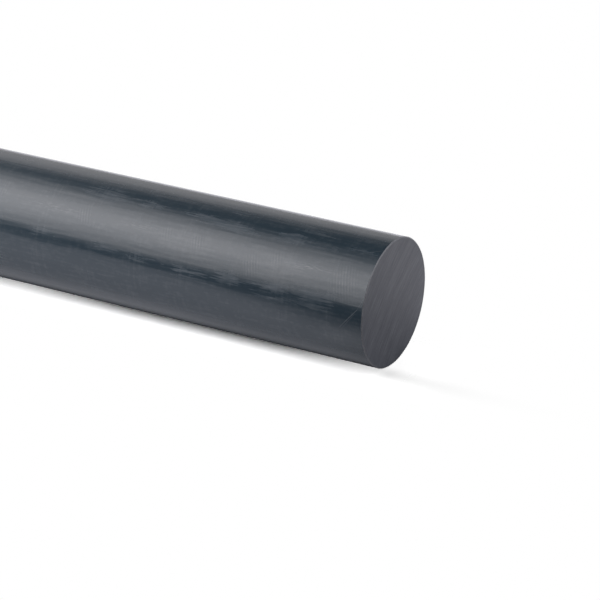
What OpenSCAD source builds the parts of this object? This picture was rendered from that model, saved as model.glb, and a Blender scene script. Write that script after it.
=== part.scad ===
// A length of solid round stock in dark nylon, lying on its side.
// It lies along X on the plane Z = 0, with the origin under the middle of its length.

/* [Rod] */
// Diameter of the rod
rod_d = 50; // [10:1:200]
// Length of the rod, from one sawn face to the other
rod_l = 500; // [100:10:3000]

/* [Ends] */
// Width of the edge that is broken round each sawn face
edge_break = 0.4; // [0.1:0.1:2]

/* [Hidden] */
$fn = 96;
nylon = [0.20, 0.22, 0.24];
rod_r = rod_d / 2;
face_r = rod_r - edge_break;

// Half of the rod's long section, with the rod's axis along Y and one sawn face at Y = 0.
// The corners between the faces and the round are broken at 45 degrees.
module long_section() {
    polygon([
        [0, 0],
        [face_r, 0],
        [rod_r, edge_break],
        [rod_r, rod_l - edge_break],
        [face_r, rod_l],
        [0, rod_l]
    ]);
}

// The whole rod as one turned solid, laid down so that its lowest line is on Z = 0.
module rod() {
    color(nylon)
        translate([-rod_l / 2, 0, rod_r])
            rotate([0, 90, 0])
                rotate_extrude()
                    long_section();
}

rod();
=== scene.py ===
import math

import bpy
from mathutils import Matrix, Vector


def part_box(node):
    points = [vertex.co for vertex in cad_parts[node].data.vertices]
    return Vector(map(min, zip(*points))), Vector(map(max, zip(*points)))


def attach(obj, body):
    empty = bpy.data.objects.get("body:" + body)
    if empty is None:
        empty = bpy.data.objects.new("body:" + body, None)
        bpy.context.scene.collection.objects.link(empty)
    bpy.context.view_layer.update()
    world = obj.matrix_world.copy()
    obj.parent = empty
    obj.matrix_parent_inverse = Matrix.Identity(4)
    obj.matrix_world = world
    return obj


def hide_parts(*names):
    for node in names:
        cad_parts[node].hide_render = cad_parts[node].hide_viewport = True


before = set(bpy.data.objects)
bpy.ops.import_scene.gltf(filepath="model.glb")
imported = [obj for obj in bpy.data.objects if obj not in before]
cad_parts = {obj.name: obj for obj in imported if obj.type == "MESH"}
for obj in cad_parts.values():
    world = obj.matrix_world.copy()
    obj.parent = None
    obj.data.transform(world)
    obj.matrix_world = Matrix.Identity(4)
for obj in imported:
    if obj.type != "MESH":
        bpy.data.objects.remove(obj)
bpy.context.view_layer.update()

MM = 0.001  # metres
ROD_LOW, ROD_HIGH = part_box("rod")
ROD_LENGTH = ROD_HIGH.x - ROD_LOW.x
ROD_DIAMETER = ROD_HIGH.z - ROD_LOW.z
ROD_RADIUS = ROD_DIAMETER / 2
NEAR_END = ROD_HIGH.x  # the sawn face that the camera sees
FAR_END = ROD_LOW.x

# Noise
NOISE_MIDDLE = 0.5  # of its levels
GRAIN = 0.6  # how much its finer levels count
FINE_DETAIL = 3.0

# Form of the rod, where it is finer than the frame
EDGE_BREAK = 0.4 * MM
EDGE_UNEVENNESS = 0.3  # share of the edge's width
EDGE_WAVES = 3.0  # noise scale, on a rim of radius 1
SAW_PITCH = 3.7 * MM
SAW_FINE_PITCH = 1.7 * MM
SAW_DEPTH = 0.03 * MM
SAW_MIDDLE = 0.5  # share of the depth
SAW_COARSE_SHARE = 0.3  # of the depth, either way from its middle
SAW_FINE_SHARE = 0.2
SAW_RADIUS = 150 * MM
SAW_TILT = math.radians(43)
SAW_DRIFT = 2.0  # radians
SAW_DRIFT_SCALE = 60.0  # noise scale, a metre
SAW_RUN_IN = 0.06  # share of the face's radius, from its edge
SECTORS = 256
STATIONS = 200
FACE_RINGS = 48
EDGE_STEPS = 2
WELD = 0.001 * MM
CREASE = math.radians(20)

# The turned skin: drawn lines run along the rod, and matte rings cross it where the rollers gripped it
NYLON = (0.0205, 0.0318, 0.0428)
NYLON_WHITENED = (0.13, 0.14, 0.155)
SKIN_ROUGHNESS = 0.2
SKIN_MATTE = 0.58
SKIN_POLISHED = -0.3  # the least wear, as a share of the way to matte
WAVE_DEPTH = 0.1 * MM
RIPPLE_DEPTH = 0.02 * MM
LINE_DEPTH = 0.012 * MM
HAIRLINE_DEPTH = 0.0025 * MM
RING_DEPTH = 0.01 * MM
SCRATCH_DEPTH = 0.012 * MM
RING_PITCH = 21.5  # mm
RING_FIRST = 13.1  # mm, back from the sawn end
RING_WANDER = 3.0  # radians
TURNED_RING_PITCH = 1.2  # mm
TURNED_RING_SLANT = 0.27  # mm along the rod, for each mm round it
TURNED_RING_WANDER = 2.0  # radians
MOTTLE_SIZE = 2.2 * MM
DRAWN = {
    # name: length and width of its spots in millimetres, seed, detail
    "waves": (30.0, 3.0, 1.5, 1.0),
    "ripples": (9.0, 1.3, 2.6, 1.0),
    "lines": (30.0, 0.9, 7.2, 2.0),
    "hairlines": (12.0, 0.2, 4.4, 1.0),
    "brush": (11.0, 0.7, 3.1, 1.0),
    "fine brush": (6.0, 0.3, 6.6, 1.0),
    "fray": (9.0, 0.6, 19.1, 1.0),
    "patches": (5.0, 1.3, 16.3, 2.0),
    "clumps": (18.0, 5.0, 11.7, 2.0),
    "sway": (14.0, 10.0, 5.3, 2.0),
    "ring lines": (1.0, 9.0, 8.8, 1.0),
    "scattered": (22.0, 2.6, 21.3, 1.0),
    "wisps": (2.6, 0.45, 9.9, 1.0),
}
SHOWS = {
    # name: the level at which it starts to show, and the level at which it is full
    "ring": (-0.3, 1.0),
    "brush": (0.38, 0.66),
    "clumps": (0.4, 0.85),
    "scattered": (0.54, 0.8),
    "wisps": (0.45, 0.7),
}
WHITENING = {
    # mark: how far it takes the colour from dark to whitened
    "scratches": 0.75,
    "wisps": 0.45,
    "scuffs": 0.1,
    "brushed scuffs": 0.17,
    "clumps": 0.27,
    "painted highlights": 1.0,
    "lines": 0.2,
    "ring lines": 0.24,
    "turned rings": 0.2,
    "ripples": 0.25,
    "mottle": 0.36,
}
WEAR = {
    # mark: how far it takes the gloss from polished to matte
    "scuffs": 1.0,
    "clumps": 0.26,
    "lines": 0.4,
    "ring lines": 0.33,
}
FINE_BRUSH_SHARE = 0.6
SCUFF_EVEN = 0.3
SCUFF_BRUSHED = 0.6
SCUFF_PATCHY = 0.6
SCATTERED_STRENGTH = 0.7
CLUMP_EVEN = 0.2
CLUMP_RINGED = 0.3
CLUMP_BRUSHED = 0.5
# How far a scuff's outline strays, in millimetres along the rod and round it
SWAY_BACK = 4.0
FRAY_BACK = 22.0
SWAY_ROUND = 3.0
PATCHES_ROUND = 3.0

# Marks that the camera sees. A place is (back from the sawn end, round from the top towards the front),
# both in millimetres along the surface
SCUFFS = [
    # place, half length, half width, strength
    ((97.4, 32.8), 7.5, 2.5, 0.5),
    ((76.2, 33.3), 8.1, 2.2, 0.9),
    ((72.5, 36.2), 11.2, 1.6, 0.3),
    ((57.0, 32.2), 7.5, 3.0, 0.9),
    ((39.3, 32.6), 8.8, 2.5, 0.8),
    ((37.7, 35.9), 10.0, 1.5, 0.6),
    ((21.2, 31.8), 13.8, 3.5, 0.6),
    ((21.2, 35.3), 11.2, 1.9, 0.4),
    ((111.0, 31.5), 8.8, 2.2, 0.4),
    ((140.0, 31.2), 10.0, 2.0, 0.35),
    ((99.0, 10.6), 10.0, 3.2, 0.6),
    ((119.0, 10.0), 14.0, 5.5, 0.45),
    ((75.4, 11.0), 9.4, 2.5, 0.6),
    ((61.3, 12.0), 13.0, 3.0, 0.8),
    ((61.3, 4.6), 8.1, 2.0, 0.3),
    ((36.0, 10.4), 8.1, 1.6, 0.7),
    ((36.9, 12.4), 8.8, 1.6, 0.5),
    ((30.6, 6.5), 12.5, 1.6, 0.3),
    ((25.0, 12.4), 12.5, 2.2, 0.3),
    ((8.6, 10.2), 10.0, 2.0, 0.3),
]
# Painted highlights: whitened patches in the band where the highlight falls, which brighten it there
PAINTED_HIGHLIGHTS = [
    # place, half length, half width, strength
    ((37.0, 24.0), 16.0, 10.0, 0.14),
    ((79.0, 24.0), 17.0, 10.0, 0.12),
]
WISPS = [
    # place, half length, half width, strength
    ((26.0, 21.8), 16.0, 2.0, 1.0),
    ((137.0, 20.9), 18.0, 2.0, 0.8),
    ((98.0, 21.0), 12.0, 2.0, 0.7),
]
TURNED_RINGS = [
    # place, half length, half width, strength
    ((124.0, 21.0), 5.0, 5.0, 0.9),
    ((87.0, 21.0), 4.0, 4.0, 0.5),
    ((73.5, 22.0), 4.0, 4.0, 0.8),
    ((49.0, 26.0), 5.5, 6.0, 1.0),
    ((39.0, 21.5), 4.0, 4.0, 0.6),
    ((10.0, 24.5), 8.0, 9.0, 1.0),
]
SCRATCHES = [
    # start, end, half width, strength
    ((9.4, 41.4), (2.5, 33.2), 0.11, 0.9),
    ((8.6, 41.8), (3.4, 35.0), 0.08, 0.5),
    ((2.5, 33.2), (0.0, 27.5), 0.09, 0.5),
    ((9.4, 12.7), (0.0, 7.7), 0.09, 0.6),
]
SCRATCH_SIDE = (0.3, 1.3)  # shares of the half width between which it fades out
SCRATCH_START = 0.4  # strength at its start
SCRATCH_FULL = 0.5  # share of its length where it is at full strength
# The photograph shows the skin up to here, fading over these millimetres. Scuffs are scattered over the rest
PHOTO_BACK = (150, 165)
PHOTO_TOP = (-18, -12)
PHOTO_BOTTOM = (58, 64)

# The sawn face
SAWN_NYLON = (0.0555, 0.0601, 0.0737)
SAWN_WHITENED = (0.127, 0.1315, 0.151)
SAWN_ROUGHNESS = 0.5
SAWN_ROUGHNESS_RANGE = 0.25
SAW_STREAK_WIDTH = 0.5 * MM
SAW_STREAK_LENGTH = 9 * MM
SAW_STREAK_DEPTH = 0.008 * MM
SAW_TUFT_SCALE = 2.2  # a millimetre
SAW_TUFT_DEPTH = 0.0024 * MM
SAW_BAND_LENGTH = 27 * MM
TUFT_SEED = 3.0
BAND_SEED = 9.0
TORN_GRAIN = 0.65
TORN_SHOWS = (0.42, 0.72)
TORN_WHITENS = 0.65
BANDS_SHOW = (0.4, 0.75)
BANDS_WHITEN = 0.25
TUFTS_WHITEN = 0.3

# The broken edge
BROKEN_NYLON = (0.115, 0.119, 0.136)
BROKEN_WHITENED = (0.18, 0.184, 0.204)
BROKEN_ROUGHNESS = 0.45
BROKEN_ROUGHNESS_RANGE = 0.3
NICK_SIZE = 0.6 * MM
NICK_DEPTH = 0.05 * MM
NICKS_SHOW = (0.3, 0.7)

# Camera
CAMERA_TURN = math.radians(29.784)
CAMERA_RISE = math.radians(24.066)
CAMERA_DISTANCE = 1.0647
CAMERA_LENS = 169.2  # mm
CAMERA_SENSOR = 36.0  # mm
CAMERA_AIM = Vector((NEAR_END - 0.04017, 0, 0.01724))

# The sheet's glow, as the rod sees it: painted light in place of lit paper, with a painted shadow of the
# rod at its foot and behind it, painted shade towards the sawn end and painted lighter patches. A span is
# where a change starts and ends, in rod diameters: along the rod from the sawn end, or across it from its
# axis
SHEET_HALF = 1.6  # metres
PAPER_TINT = (0.99, 0.975, 1.04, 1)
# Painted shadow of the rod: the sheet's level at its foot, which the rest rises from
PAPER_PAINTED_SHADE = 0.05
PAPER_BACK = 1.1
PAPER_BACK_SPAN = (0.2, 1.6)
PAPER_BACK_RISE = 0.2
PAPER_BACK_RISE_SPAN = (-6.0, -2.0)
# Painted shade: the sheet behind the rod is darker towards the sawn end
PAPER_END_SHARE = 0.72
PAPER_END_SPAN = (-0.1, 0.6)
# Painted light: the sheet just past the sawn end is lighter
PAPER_PAST_END = 0.15
PAPER_PAST_SPAN = (-0.05, 0.15)
PAPER_PAST_BACK_SPAN = (0.3, 1.0)
# The sheet just before the rod, out of its painted shadow, with painted shade towards the sawn end
PAPER_NEAR = 0.68
PAPER_NEAR_SPAN = (0.19, 0.37)
PAPER_NEAR_SHARE = 0.77
PAPER_NEAR_SHARE_SPAN = (-2.1, -0.8)
PAPER_FRONT = 1.15
PAPER_FRONT_START = 0.35
PAPER_FRONT_FULL = 1.2
PAPER_FRONT_SOONER = 0.3  # at the sawn end
# Painted light: a lighter band on the sheet before the rod, near the sawn end
PAPER_LIFT = 0.47
PAPER_LIFT_SPAN = (-0.75, -0.35)
PAPER_LIFT_FROM = (0.4, 0.7)
PAPER_LIFT_TO = (1.1, 1.7)
PAPER_EDGE_TURN = math.radians(40)
PAPER_EDGE_SPAN = (-0.15, 1.15)

# The sheet as the camera sees it: the shadow strip under and before the rod, and a faint painted shadow
# streak past its end
PAPER_SEEN = 2.1
SHADOW_SPAN = (0.36, 0.56)
SHADOW_END_SPAN = (-1.1, 0.6)
SHADOW_FAR_SHARE = 0.62
SHADOW_FULL_SPAN = (-3.4, -2.1)
SHADOW_FAR_END_SPAN = (0.0, 0.56)
STREAK_DEPTH = 0.33
STREAK_FADE = 14.5 * MM
STREAK_FRONT = 8.7 * MM  # before the rod's axis
STREAK_HALF_WIDTH = 7.1 * MM
STREAK_START = (-6 * MM, 4 * MM)  # past the sawn end

# The tent. Turns are in degrees, from level at the back, over the top, to level at the front. Spans are in
# degrees, or in rod diameters along the rod from the sawn end
ROOM_GLOW = 0.02  # past the tent
TENT_RADIUS = 16 * ROD_DIAMETER
TENT_SIDES = 48
TENT_ENDS = (-1.3, 1.8)  # metres along the rod
TENT_GLOW = 0.02
CLOTH_TINT = (1.03, 0.99, 0.995, 1)
SKEW_FROM = -10.0  # rod diameters from the sawn end
FRONT_GLOW = 4.83
FRONT_TOP = (66.9, 2.99)  # turn where SKEW_FROM is, and its change over each diameter from there
FRONT_TOP_FADE = 66.0
FRONT_BOTTOM = (175.8, 0.87)
FRONT_BOTTOM_FADE = 11.0
FRONT_LOW_SPAN = (125, 170)
FRONT_LOW_LOSS = 0.53
FRONT_END_SPAN = (-10.5, 1.2)
BACK_GLOW = 0.416
BACK_GLOW_RISE = 0.017725  # a degree
BACK_EDGE = (38.7, -2.46)
BACK_EDGE_FADE = 20.0
SIDE_GLOW = 2.0
SIDE_SPAN = (2.0, 8.0)
SIDE_RISE = (20, 60)
SIDE_FALL = (120, 170)
LAMPS = {
    # name: place in metres, what it points at, length along it, width, glow
    "front_softbox": ((-0.45, -0.468, 0.545), (-0.2, 0, ROD_RADIUS), 1.14, 0.66, 5.2),
    "back_strip": ((0.2, 0.679, 0.194), (0.2, 0, ROD_RADIUS), 2.1, 0.39, 2.6),
    "end_softbox": ((1.05, 0, 0.6), (NEAR_END, 0, ROD_RADIUS), 0.9, 0.85, 2.4),
}


class Socket:
    """An output of a node. Python's operators on it add Math nodes to its tree."""

    def __init__(self, tree, output):
        self.tree = tree
        self.output = output

    def math(self, operation, *values):
        return self.tree.node("ShaderNodeMath", {"operation": operation}, values)

    def __add__(self, other):
        return self.math("ADD", self, other)

    def __radd__(self, other):
        return self.math("ADD", other, self)

    def __sub__(self, other):
        return self.math("SUBTRACT", self, other)

    def __rsub__(self, other):
        return self.math("SUBTRACT", other, self)

    def __mul__(self, other):
        return self.math("MULTIPLY", self, other)

    def __rmul__(self, other):
        return self.math("MULTIPLY", other, self)

    def __truediv__(self, other):
        return self.math("DIVIDE", self, other)

    def __rtruediv__(self, other):
        return self.math("DIVIDE", other, self)

    def __pow__(self, other):
        return self.math("POWER", self, other)

    def __rpow__(self, other):
        return self.math("POWER", other, self)

    def __neg__(self):
        return self.math("MULTIPLY", self, -1.0)

    def __abs__(self):
        return self.math("ABSOLUTE", self)

    def __gt__(self, other):
        return self.math("GREATER_THAN", self, other)

    def __lt__(self, other):
        return self.math("LESS_THAN", self, other)

    def sin(self):
        return self.math("SINE", self)

    def cos(self):
        return self.math("COSINE", self)

    def held(self, low=0.0, high=1.0):
        """The value, held between low and high."""
        return self.tree.node("ShaderNodeClamp", inputs=(self, low, high))

    def ramp(self, low, high):
        """0 below low, 1 above high and a smooth step between."""
        settings = {"interpolation_type": "SMOOTHSTEP"}
        inputs = {"Value": self, "From Min": low, "From Max": high}
        return self.tree.node("ShaderNodeMapRange", settings, inputs)


class Tree:
    """A node tree that is built up call by call."""

    def __init__(self, nodes):
        self.nodes = nodes

    def node(self, kind, settings=None, inputs=(), outs=0):
        """Adds a node and returns its output, or a list of them where outs names several.
        The settings are set first. inputs are values or Sockets, in order or by the socket's name."""
        made = self.nodes.nodes.new(kind)
        for name, value in (settings or {}).items():
            setattr(made, name, value)
        sockets = [s for s in made.inputs if s.enabled]
        if isinstance(inputs, dict):
            named = [(next(s for s in sockets if s.name == name), value) for name, value in inputs.items()]
        else:
            named = zip(sockets, inputs)
        for socket, value in named:
            if isinstance(value, Socket):
                self.nodes.links.new(value.output, socket)
            elif value is not None:
                socket.default_value = value
        live = [s for s in made.outputs if s.enabled]
        if isinstance(outs, (list, tuple)):
            return [Socket(self, next(s for s in live if s.name == name)) for name in outs]
        if isinstance(outs, str):
            return Socket(self, next(s for s in live if s.name == outs))
        return Socket(self, live[outs]) if live else None


def vector(tree, x, y, z):
    return tree.node("ShaderNodeCombineXYZ", inputs=(x, y, z))


def split(tree, place):
    """The three parts of a vector."""
    return tree.node("ShaderNodeSeparateXYZ", inputs=(place,), outs=("X", "Y", "Z"))


def distance_from(across, up, centre_across, centre_up):
    """How far a spot is from a centre, in a plane."""
    miss_across = across - centre_across
    miss_up = up - centre_up
    return (miss_across * miss_across + miss_up * miss_up) ** 0.5


def noise(tree, place, scale, detail=2.0, roughness=0.5):
    inputs = {"Vector": place, "Scale": scale, "Detail": detail, "Roughness": roughness}
    return tree.node("ShaderNodeTexNoise", inputs=inputs, outs="Fac")


def form_inputs(nodes):
    """Gives the form its named inputs and returns the names."""
    kinds = {
        "Float": ["Length", "Diameter", "Edge break", "Edge unevenness", "Saw pitch", "Fine saw pitch",
                  "Saw depth", "Saw radius", "Saw tilt"],
        "Int": ["Sectors", "Stations", "Face rings", "Edge steps"],
        "Material": ["Turned", "Sawn", "Broken"],
    }
    for kind, names in kinds.items():
        for name in names:
            nodes.interface.new_socket(name, in_out="INPUT", socket_type="NodeSocket" + kind)
    nodes.interface.new_socket("Geometry", in_out="OUTPUT", socket_type="NodeSocketGeometry")
    return [name for names in kinds.values() for name in names]


def saw_marks(form, given, end, sideways, upward):
    """The marks of the saw on a face, from 0 to 1: arcs about a far centre, which wander a little."""
    centre_across = given["Saw tilt"].sin() * given["Saw radius"]
    centre_up = -given["Saw tilt"].cos() * given["Saw radius"]
    reach = distance_from(sideways, upward, centre_across, centre_up)
    drift = noise(form, vector(form, end, sideways, upward), SAW_DRIFT_SCALE) * SAW_DRIFT
    coarse = (reach / given["Saw pitch"] * math.tau + drift).sin()
    fine = (reach / given["Fine saw pitch"] * math.tau + drift * 2).sin()
    return SAW_MIDDLE - coarse * SAW_COARSE_SHARE - fine * SAW_FINE_SHARE


def rod_form():
    """The rod's skin as one grid bent round its axis: both sawn faces, both broken edges and the round."""
    nodes = bpy.data.node_groups.new("rod as turned and sawn", "GeometryNodeTree")
    names = form_inputs(nodes)
    form = Tree(nodes)
    given = dict(zip(names, form.node("NodeGroupInput", outs=names)))
    radius = given["Diameter"] / 2
    half_stations = given["Stations"] / 2
    grid_rows = given["Stations"] + (given["Edge steps"] + given["Face rings"]) * 2
    grid = form.node("GeometryNodeMeshGrid", inputs={
        "Size X": 1.0, "Size Y": 1.0, "Vertices X": grid_rows + 1, "Vertices Y": given["Sectors"] + 1})
    across_grid, round_grid, _ = split(form, form.node("GeometryNodeInputPosition"))
    row = across_grid * grid_rows
    end = row.math("SIGN", row)
    from_middle = abs(row)
    turn = round_grid * math.tau
    on_round = (from_middle / half_stations).held()
    on_edge = ((from_middle - half_stations) / given["Edge steps"]).held()
    on_face = ((from_middle - half_stations - given["Edge steps"]) / given["Face rings"]).held()

    rim_place = vector(form, end, turn.cos(), turn.sin())
    wobble = noise(form, rim_place, EDGE_WAVES) * 2 - 1
    edge = given["Edge break"] * (1 + wobble * given["Edge unevenness"])
    distance = radius - edge * on_edge - (radius - edge) * on_face
    sideways = -distance * turn.sin()
    upward = distance * turn.cos()
    along = (given["Length"] / 2 - edge) * on_round + edge * on_edge
    # The saw's marks are only ever cut into the face, so the rod stays within its length
    cut = given["Saw depth"] * saw_marks(form, given, end, sideways, upward) * on_face.ramp(0.0, SAW_RUN_IN)
    along = (along - cut) * end

    wrap = vector(form, along, turn * radius, 0.0)
    flat = vector(form, sideways, upward, 0.0)
    is_face = on_face > 0
    is_edge = (on_edge > 0) - is_face
    surface = form.node("ShaderNodeMix", {"data_type": "VECTOR"}, {"Factor": is_face, "A": wrap, "B": flat})
    skin = form.node("GeometryNodeStoreNamedAttribute", {"data_type": "FLOAT2", "domain": "CORNER"}, {
        "Geometry": grid, "Name": "surface", "Value": surface})
    skin = form.node("GeometryNodeStoreNamedAttribute", {"data_type": "FLOAT", "domain": "FACE"}, {
        "Geometry": skin, "Name": "stretch", "Value": is_face * 2 + is_edge})
    skin = form.node("GeometryNodeSetPosition", inputs={
        "Geometry": skin, "Position": vector(form, along, sideways, upward + radius)})
    skin = form.node("GeometryNodeFlipFaces", inputs=(skin,))
    skin = form.node("GeometryNodeMergeByDistance", inputs={"Geometry": skin, "Distance": WELD})
    bend = form.node("GeometryNodeInputMeshEdgeAngle")
    skin = form.node("GeometryNodeSetShadeSmooth", {"domain": "EDGE"}, (skin, bend > CREASE, False))
    skin = form.node("GeometryNodeRealizeInstances", inputs=(skin,))
    stretch = form.node("GeometryNodeInputNamedAttribute", {"data_type": "FLOAT"}, {"Name": "stretch"})
    for level, finish in enumerate(("Turned", "Broken", "Sawn")):
        skin = form.node("GeometryNodeSetMaterial", inputs={
            "Geometry": skin, "Selection": stretch > level - 0.5, "Material": given[finish]})
    form.node("NodeGroupOutput", inputs=(skin,))
    return nodes


def make_rod(turned, sawn, broken):
    """Evaluates the rod's form and returns it as a plain mesh."""
    blank = bpy.data.objects.new("rod_blank", bpy.data.meshes.new("rod_blank"))
    bpy.context.scene.collection.objects.link(blank)
    modifier = blank.modifiers.new("form", "NODES")
    modifier.node_group = rod_form()
    sizes = {
        "Length": ROD_LENGTH, "Diameter": ROD_DIAMETER,
        "Edge break": EDGE_BREAK, "Edge unevenness": EDGE_UNEVENNESS,
        "Saw pitch": SAW_PITCH, "Fine saw pitch": SAW_FINE_PITCH, "Saw depth": SAW_DEPTH,
        "Saw radius": SAW_RADIUS, "Saw tilt": SAW_TILT,
        "Sectors": SECTORS, "Stations": STATIONS, "Face rings": FACE_RINGS, "Edge steps": EDGE_STEPS,
        "Turned": turned, "Sawn": sawn, "Broken": broken,
    }
    for item in modifier.node_group.interface.items_tree:
        if item.name in sizes:
            modifier[item.identifier] = sizes[item.name]
    evaluated = bpy.context.evaluated_depsgraph_get()
    mesh = bpy.data.meshes.new_from_object(blank.evaluated_get(evaluated), depsgraph=evaluated)
    mesh.name = "turned_rod"
    for slot in reversed(range(len(mesh.materials))):
        if mesh.materials[slot] is None:
            mesh.materials.pop(index=slot)
    bpy.data.objects.remove(blank)
    rod = bpy.data.objects.new("turned_rod", mesh)
    bpy.context.scene.collection.objects.link(rod)
    return rod


def new_material(name):
    material = bpy.data.materials.new(name)
    material.use_nodes = True
    material.node_tree.nodes.clear()
    return material, Tree(material.node_tree)


def whiten(tree, share, dark, white):
    """Mixes two colours, the second by the share."""
    inputs = {"Factor": share.held(), "A": (*dark, 1), "B": (*white, 1)}
    return tree.node("ShaderNodeMix", {"data_type": "RGBA"}, inputs)


def finish_nylon(tree, colour, roughness, height):
    """Ends a nylon's tree. height is the fine relief in metres."""
    normal = tree.node("ShaderNodeBump", inputs={"Strength": 1.0, "Distance": 1.0, "Height": height})
    shader = tree.node("ShaderNodeBsdfPrincipled", inputs={
        "Base Color": colour, "Roughness": roughness, "Normal": normal})
    tree.node("ShaderNodeOutputMaterial", inputs={"Surface": shader})


def oval(back, turned, place, half_length, half_width):
    """1 in the middle of an oval, fading to 0 at its outline. All lengths are in millimetres."""
    lengthwise = (back - place[0]) / half_length
    crosswise = (turned - place[1]) / half_width
    inside = (1 - lengthwise * lengthwise - crosswise * crosswise).held()
    return inside * inside


def ovals(back, turned, marks):
    """The ovals of a list of marks, added up."""
    total = 0.0
    for place, half_length, half_width, strength in marks:
        total = oval(back, turned, place, half_length, half_width) * strength + total
    return total.held()


def scratch(back, turned, start, end, half_width):
    """1 along a straight scratch, weaker at its start. All lengths are in millimetres."""
    run, rise = end[0] - start[0], end[1] - start[1]
    from_start = back - start[0]
    below_start = turned - start[1]
    share = ((from_start * run + below_start * rise) / (run * run + rise * rise)).held()
    miss = distance_from(from_start, below_start, share * run, share * rise)
    strength = SCRATCH_START + share.ramp(0, SCRATCH_FULL) * (1 - SCRATCH_START)
    return (1 - (miss / half_width).ramp(*SCRATCH_SIDE)) * strength


def scratches(back, turned):
    """All the scratches, added up."""
    total = 0.0
    for start, end, half_width, strength in SCRATCHES:
        total = scratch(back, turned, start, end, half_width) * strength + total
    return total.held()


def weigh(marks, weights):
    """The marks, each times its weight, added up."""
    total = 0.0
    for name, weight in weights.items():
        total = marks[name] * weight + total
    return total


def turned_nylon():
    """Dark nylon, drawn lengthwise and gripped by rollers, with the scuffs and scratches of handling and
    patches of painted highlight.
    """
    material, tree = new_material("turned nylon")
    spot = tree.node("ShaderNodeTexCoord", outs="Object")
    x, y, z = split(tree, spot)
    _, turned, _ = split(tree, tree.node("ShaderNodeUVMap", {"uv_map": "surface"}))
    back = (NEAR_END - x) / MM
    turned = turned / MM

    def drawn(name):
        """Noise drawn out along the rod."""
        length, width, seed, detail = DRAWN[name]
        place = vector(tree, back / length + seed, y / (MM * width), z / (MM * width))
        return noise(tree, place, 1.0, detail=detail, roughness=GRAIN)

    waves = drawn("waves")
    ripples = drawn("ripples")
    lines = drawn("lines")
    sway = drawn("sway") - NOISE_MIDDLE
    patches = drawn("patches") - NOISE_MIDDLE
    brush = (drawn("brush") + (drawn("fine brush") - NOISE_MIDDLE) * FINE_BRUSH_SHARE).ramp(*SHOWS["brush"])
    ring = ((back - RING_FIRST) * (math.tau / RING_PITCH) + sway * RING_WANDER).cos().ramp(*SHOWS["ring"])
    ring_lines = drawn("ring lines") * ring
    ring_phase = (back + turned * TURNED_RING_SLANT) * (math.tau / TURNED_RING_PITCH)
    turned_rings = (ring_phase + patches * TURNED_RING_WANDER).sin() * ovals(back, turned, TURNED_RINGS)

    # Scuffs and clumps are brushed: both show in streaks that run along the rod
    swayed_back = back + sway * SWAY_BACK + (drawn("fray") - NOISE_MIDDLE) * FRAY_BACK
    swayed_turned = turned + (waves - NOISE_MIDDLE) * SWAY_ROUND + patches * PATCHES_ROUND
    in_photo = (1 - back.ramp(*PHOTO_BACK)) * turned.ramp(*PHOTO_TOP) * (1 - turned.ramp(*PHOTO_BOTTOM))
    scattered = drawn("scattered").ramp(*SHOWS["scattered"]) * ring * SCATTERED_STRENGTH
    rubbed = (ovals(swayed_back, swayed_turned, SCUFFS) + scattered * (1 - in_photo)).held()
    scuffs = rubbed * (SCUFF_EVEN + brush * SCUFF_BRUSHED + (patches + NOISE_MIDDLE) * SCUFF_PATCHY)
    clumps = drawn("clumps").ramp(*SHOWS["clumps"]) * (CLUMP_EVEN + ring * CLUMP_RINGED)
    scratched = scratches(back, turned)
    marks = {
        "scratches": scratched,
        "wisps": ovals(back, turned, WISPS) * drawn("wisps").ramp(*SHOWS["wisps"]),
        "scuffs": scuffs,
        "brushed scuffs": scuffs * brush,
        "clumps": clumps * (1 - CLUMP_BRUSHED + brush * CLUMP_BRUSHED),
        # painted highlights: brighter patches in the highlight's band
        "painted highlights": ovals(swayed_back, turned, PAINTED_HIGHLIGHTS),
        "lines": lines - NOISE_MIDDLE,
        "ring lines": ring_lines - NOISE_MIDDLE * ring,
        "turned rings": turned_rings,
        "ripples": ripples - NOISE_MIDDLE,
        "mottle": noise(tree, spot, 1 / MOTTLE_SIZE, detail=FINE_DETAIL, roughness=GRAIN) - NOISE_MIDDLE,
    }

    worn = weigh(marks, WEAR).held(SKIN_POLISHED, 1.0)
    roughness = SKIN_ROUGHNESS + worn * (SKIN_MATTE - SKIN_ROUGHNESS)
    height = waves * WAVE_DEPTH + ripples * RIPPLE_DEPTH + lines * LINE_DEPTH
    height = height + drawn("hairlines") * HAIRLINE_DEPTH + ring_lines * RING_DEPTH
    height = height - scratched * SCRATCH_DEPTH
    colour = whiten(tree, weigh(marks, WHITENING), NYLON, NYLON_WHITENED)
    finish_nylon(tree, colour, roughness, height)
    return material


def sawn_nylon():
    """The sawn end: matte, with broken streaks along the saw's arcs."""
    material, tree = new_material("sawn nylon")
    sideways, upward, _ = split(tree, tree.node("ShaderNodeUVMap", {"uv_map": "surface"}))
    centre_across = math.sin(SAW_TILT) * SAW_RADIUS
    centre_up = -math.cos(SAW_TILT) * SAW_RADIUS
    reach = distance_from(sideways, upward, centre_across, centre_up)
    from_centre = upward - centre_up
    swing = from_centre.math("ARCTAN2", from_centre, sideways - centre_across) * SAW_RADIUS
    streak_place = vector(tree, reach / SAW_STREAK_WIDTH, swing / SAW_STREAK_LENGTH, 0.0)
    torn = noise(tree, streak_place, 1.0, detail=FINE_DETAIL, roughness=TORN_GRAIN)
    tufts = noise(tree, vector(tree, reach / MM, swing / MM, TUFT_SEED), SAW_TUFT_SCALE)
    bands = noise(tree, vector(tree, reach / SAW_PITCH, swing / SAW_BAND_LENGTH, BAND_SEED), 1.0)
    whitened = torn.ramp(*TORN_SHOWS) * TORN_WHITENS + bands.ramp(*BANDS_SHOW) * BANDS_WHITEN
    whitened = whitened + (tufts - NOISE_MIDDLE) * TUFTS_WHITEN
    roughness = SAWN_ROUGHNESS + (torn - NOISE_MIDDLE) * SAWN_ROUGHNESS_RANGE
    height = torn * SAW_STREAK_DEPTH + tufts * SAW_TUFT_DEPTH
    finish_nylon(tree, whiten(tree, whitened, SAWN_NYLON, SAWN_WHITENED), roughness, height)
    return material


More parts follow.
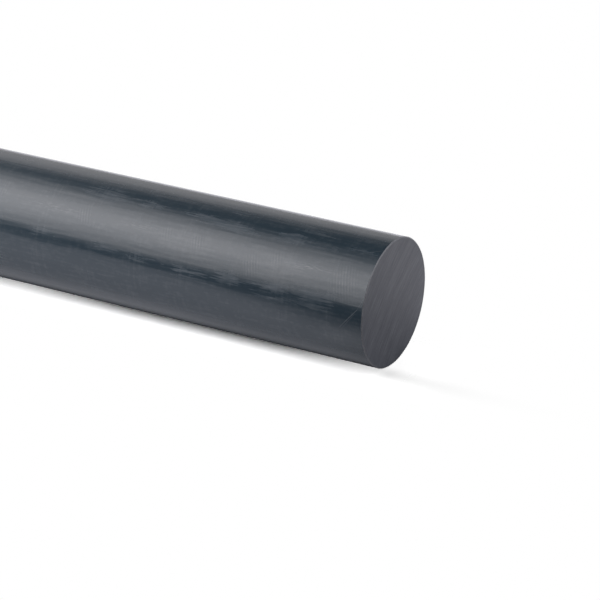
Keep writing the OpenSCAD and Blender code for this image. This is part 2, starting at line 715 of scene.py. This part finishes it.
def broken_edge():
    """The edge between them, broken with a scraper, so lighter and a little uneven."""
    material, tree = new_material("broken edge")
    spot = tree.node("ShaderNodeTexCoord", outs="Object")
    nicks = noise(tree, spot, 1 / NICK_SIZE, detail=FINE_DETAIL, roughness=GRAIN)
    colour = whiten(tree, nicks.ramp(*NICKS_SHOW), BROKEN_NYLON, BROKEN_WHITENED)
    roughness = BROKEN_ROUGHNESS + (nicks - NOISE_MIDDLE) * BROKEN_ROUGHNESS_RANGE
    finish_nylon(tree, colour, roughness, nicks * NICK_DEPTH)
    return material


def painted_sheet_light(along, across):
    """The sheet's painted light in what the rod reflects, with a painted shadow of the rod at its foot and
    behind it and painted shade towards the sawn end. along and across are in rod diameters.
    """
    front = -across
    rise = 1 + along.ramp(*PAPER_BACK_RISE_SPAN) * PAPER_BACK_RISE
    rise = rise * (1 - along.ramp(*PAPER_END_SPAN) * (1 - PAPER_END_SHARE))
    behind = across.ramp(*PAPER_BACK_SPAN) * (PAPER_BACK - PAPER_PAINTED_SHADE) * rise
    at_end = along.ramp(*PAPER_NEAR_SHARE_SPAN)
    near = PAPER_NEAR * (1 - at_end * (1 - PAPER_NEAR_SHARE))
    before = front.ramp(*PAPER_NEAR_SPAN) * (near - PAPER_PAINTED_SHADE)
    full = PAPER_FRONT_FULL - at_end * PAPER_FRONT_SOONER
    before = before + front.ramp(PAPER_FRONT_START, full) * (PAPER_FRONT - near)
    lift = along.ramp(*PAPER_LIFT_SPAN) * front.ramp(*PAPER_LIFT_FROM) * (1 - front.ramp(*PAPER_LIFT_TO))
    before = before * (1 + lift * PAPER_LIFT)
    past = along.ramp(*PAPER_PAST_SPAN) * (1 - across.ramp(*PAPER_PAST_BACK_SPAN)) * PAPER_PAST_END
    return PAPER_PAINTED_SHADE + behind + before + past


def shadow_strip(along, across):
    """1 where the camera sees the sheet's shading by the rod. along and across are in rod diameters."""
    strip = (1 - abs(across).ramp(*SHADOW_SPAN)) * (1 - along.ramp(*SHADOW_END_SPAN))
    strip = strip * (SHADOW_FAR_SHARE + along.ramp(*SHADOW_FULL_SPAN) * (1 - SHADOW_FAR_SHARE))
    past_far_end = (FAR_END - NEAR_END) / ROD_DIAMETER - along
    return strip * (1 - past_far_end.ramp(*SHADOW_FAR_END_SPAN))


def painted_shadow_streak(x, y):
    """A painted shadow: a faint dark streak on the sheet past the sawn end."""
    past_end = x - NEAR_END
    streak = math.e ** (past_end.held() / -STREAK_FADE) * past_end.ramp(*STREAK_START)
    return streak * (1 - (abs(y + STREAK_FRONT) / STREAK_HALF_WIDTH).ramp(0, 1)) * STREAK_DEPTH


def make_floor():
    """The white sheet that the rod lies on. To the rod it glows with painted light and shade, fading out
    towards the camera, where the studio is dark. The camera sees through it to white, apart from the
    rod's shadow and a painted shadow past its sawn end."""
    mesh = bpy.data.meshes.new("floor_sheet")
    corners = [(-1, -1), (1, -1), (1, 1), (-1, 1)]
    mesh.from_pydata([(x * SHEET_HALF, y * SHEET_HALF, 0) for x, y in corners], [], [(0, 1, 2, 3)])
    floor = bpy.data.objects.new("floor_sheet", mesh)
    bpy.context.scene.collection.objects.link(floor)
    material, tree = new_material("white paper")
    x, y, _ = split(tree, tree.node("ShaderNodeTexCoord", outs="Object"))
    along = (x - NEAR_END) / ROD_DIAMETER
    across = y / ROD_DIAMETER
    seen = tree.node("ShaderNodeLightPath", outs="Is Camera Ray")
    # The sheet's painted light and shade, as the rod sees it
    glow = painted_sheet_light(along, across)
    painted_sheet_glow = tree.node("ShaderNodeEmission", inputs={"Color": PAPER_TINT, "Strength": glow})
    paper = tree.node("ShaderNodeBsdfDiffuse", inputs={"Color": (PAPER_SEEN, PAPER_SEEN, PAPER_SEEN, 1)})
    paper = tree.node("ShaderNodeMixShader", inputs=(seen, painted_sheet_glow, paper))
    gone = tree.node("ShaderNodeBsdfTransparent")
    dark = tree.node("ShaderNodeBsdfDiffuse", inputs={"Color": (0, 0, 0, 1)})
    towards_camera = along * math.sin(PAPER_EDGE_TURN) - across * math.cos(PAPER_EDGE_TURN)
    fade = towards_camera.ramp(*PAPER_EDGE_SPAN)
    left_out = fade + seen * (1 - shadow_strip(along, across) - fade)
    faded = tree.node("ShaderNodeMixShader", inputs=(left_out, paper, gone))
    # A painted shadow past the sawn end: black mixed into what the camera sees
    with_painted_shadow = tree.node("ShaderNodeMixShader", inputs=(seen * painted_shadow_streak(x, y), faded, dark))
    tree.node("ShaderNodeOutputMaterial", inputs={"Surface": with_painted_shadow})
    material.cycles.emission_sampling = "NONE"
    mesh.materials.append(material)


def make_world():
    """White behind everything for the camera, and dark for what the rod reflects past the tent."""
    world = bpy.data.worlds.new("studio")
    bpy.context.scene.world = world
    world.use_nodes = True
    world.node_tree.nodes.clear()
    tree = Tree(world.node_tree)
    seen = tree.node("ShaderNodeLightPath", outs="Is Camera Ray")
    backdrop = tree.node("ShaderNodeBackground", inputs={"Color": (1, 1, 1, 1), "Strength": 1.0})
    room = tree.node("ShaderNodeBackground", inputs={"Color": (1, 1, 1, 1), "Strength": ROOM_GLOW})
    mixed = tree.node("ShaderNodeMixShader", inputs=(seen, room, backdrop))
    tree.node("ShaderNodeOutputWorld", inputs={"Surface": mixed})


def tent_glow(along, turn):
    """The light of the tent's cloth: a wide patch at the front, a sweep low at the back and a patch past the
    sawn end. along is in rod diameters, and turn in degrees."""
    skew = along - SKEW_FROM
    top = FRONT_TOP[0] + skew * FRONT_TOP[1]
    bottom = FRONT_BOTTOM[0] + skew * FRONT_BOTTOM[1]
    front = ((turn - top) / FRONT_TOP_FADE).ramp(0, 1)
    front = front * (1 - ((turn - bottom) / FRONT_BOTTOM_FADE).ramp(-1, 0))
    front = front * (1 - turn.ramp(*FRONT_LOW_SPAN) * FRONT_LOW_LOSS) * (1 - along.ramp(*FRONT_END_SPAN))
    edge = BACK_EDGE[0] + skew * BACK_EDGE[1]
    back = (BACK_GLOW + turn * BACK_GLOW_RISE) * (1 - ((turn - edge) / BACK_EDGE_FADE).ramp(-1, 1))
    side = along.ramp(*SIDE_SPAN) * turn.ramp(*SIDE_RISE) * (1 - turn.ramp(*SIDE_FALL))
    return front * FRONT_GLOW + back + side * SIDE_GLOW + TENT_GLOW


def make_tent():
    """A half-round tent of glowing white cloth over the rod, seen only in reflections."""
    turns = [math.pi * i / TENT_SIDES for i in range(TENT_SIDES + 1)]
    arc = [(TENT_RADIUS * math.cos(t), ROD_RADIUS + TENT_RADIUS * math.sin(t)) for t in turns]
    points = [(x, y, z) for x in TENT_ENDS for y, z in arc]
    faces = [(i, i + 1, i + 2 + TENT_SIDES, i + 1 + TENT_SIDES) for i in range(TENT_SIDES)]
    mesh = bpy.data.meshes.new("light_tent")
    mesh.from_pydata(points, [], faces)
    tent = bpy.data.objects.new("light_tent", mesh)
    tent.visible_camera = False
    tent.visible_diffuse = False
    tent.visible_shadow = False
    bpy.context.scene.collection.objects.link(tent)
    material, tree = new_material("lit cloth")
    material.cycles.emission_sampling = "NONE"
    x, y, z = split(tree, tree.node("ShaderNodeTexCoord", outs="Object"))
    up = z - ROD_RADIUS
    turn = up.math("ARCTAN2", up, y) * (180 / math.pi)
    glow = tent_glow((x - NEAR_END) / ROD_DIAMETER, turn)
    light = tree.node("ShaderNodeEmission", inputs={"Color": CLOTH_TINT, "Strength": glow})
    tree.node("ShaderNodeOutputMaterial", inputs={"Surface": light})
    mesh.materials.append(material)


def make_lamps():
    """Soft lamps that light the rod's own colour and the sheet. The gloss shows the tent in their place."""
    for name, (place, aim, length, width, glow) in LAMPS.items():
        data = bpy.data.lights.new(name, "AREA")
        data.shape = "RECTANGLE"
        data.size = length
        data.size_y = width
        data.energy = glow * math.pi * length * width
        lamp = bpy.data.objects.new(name, data)
        lamp.location = place
        lamp.rotation_euler = (Vector(aim) - Vector(place)).to_track_quat("-Z", "Y").to_euler()
        lamp.visible_camera = False
        lamp.visible_glossy = False
        bpy.context.scene.collection.objects.link(lamp)


def make_camera():
    data = bpy.data.cameras.new("camera")
    data.lens = CAMERA_LENS
    data.sensor_width = CAMERA_SENSOR
    level = math.cos(CAMERA_RISE)
    back = Vector((math.sin(CAMERA_TURN) * level, -math.cos(CAMERA_TURN) * level, math.sin(CAMERA_RISE)))
    camera = bpy.data.objects.new("camera", data)
    camera.location = CAMERA_AIM + back * CAMERA_DISTANCE
    camera.rotation_euler = (-back).to_track_quat("-Z", "Y").to_euler()
    bpy.context.scene.collection.objects.link(camera)
    bpy.context.scene.camera = camera


bpy.context.scene.view_settings.view_transform = "Standard"
make_camera()
make_world()
make_floor()
make_tent()
make_lamps()
rod = make_rod(turned_nylon(), sawn_nylon(), broken_edge())
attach(rod, "root")
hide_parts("rod")
